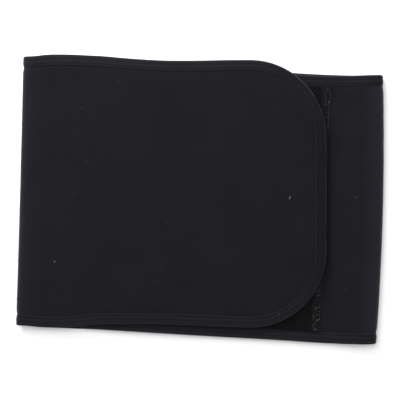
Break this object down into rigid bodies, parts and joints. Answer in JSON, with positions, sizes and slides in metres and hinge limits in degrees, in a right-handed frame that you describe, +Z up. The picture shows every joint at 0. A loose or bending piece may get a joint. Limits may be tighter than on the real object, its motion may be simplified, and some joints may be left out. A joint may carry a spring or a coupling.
{
  "type": "abdominal binder",
  "caption": "Elastic abdominal binder: a wide padded band with bound edges, closed in front by a rounded hook-and-loop flap, laid flat",
  "frame": {"origin": "bottom centre of the bounding box, on the surface that the binder lies on", "axes": "+X along the band towards the flap's rounded end, +Y across the band towards its top edge, +Z up out of the flap's outer face"},
  "size_m": [0.3186, 0.2508, 0.0136],
  "materials": {
    "band_fabric": "matt black knit over foam",
    "binding_tape": "matt black knit tape",
    "loop_pile": "matt black brushed loop pile",
    "hook_tape": "black woven tape with plastic hooks"
  },
  "bodies": {
    "root": {"band": "band_fabric", "edge_binding": "binding_tape", "loop_panel": "loop_pile", "hook_patch": "hook_tape"}
  },
  "joints": []
}
